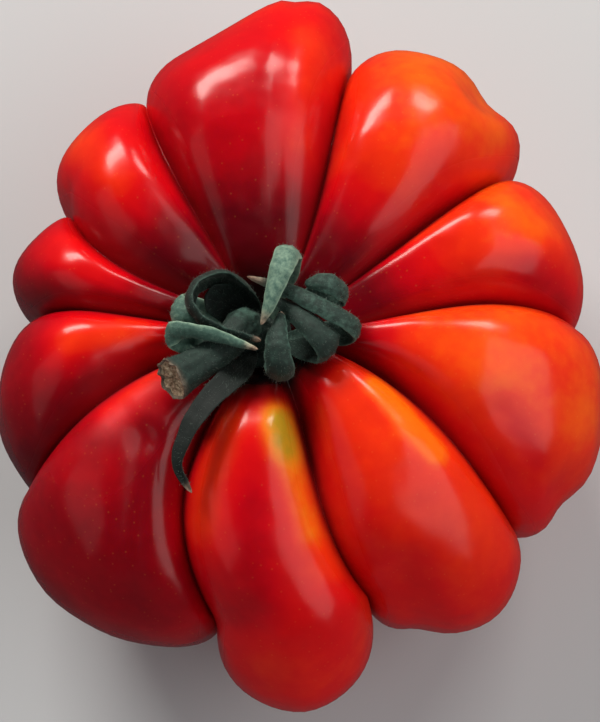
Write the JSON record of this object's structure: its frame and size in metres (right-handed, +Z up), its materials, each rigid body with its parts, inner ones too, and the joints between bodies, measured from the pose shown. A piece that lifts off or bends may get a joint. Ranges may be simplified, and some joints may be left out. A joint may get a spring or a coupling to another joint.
{
  "type": "tomato",
  "caption": "Large ribbed tomato with uneven lobes, a sunken stem end, a curled green calyx and a cut stalk.",
  "frame": {"origin": "centre of the object's box in X and Y, on the plane the fruit rests on", "axes": "+Z up through the stem end, +Y towards the largest lobe, +X to its right as seen from above with +Y at the top"},
  "size_m": [0.097, 0.1148, 0.0642],
  "materials": {
    "ripe_skin": "glossy",
    "calyx_green": "matte"
  },
  "bodies": {
    "root": {"fruit": "ripe_skin", "calyx_and_stalk": "calyx_green"}
  },
  "joints": []
}
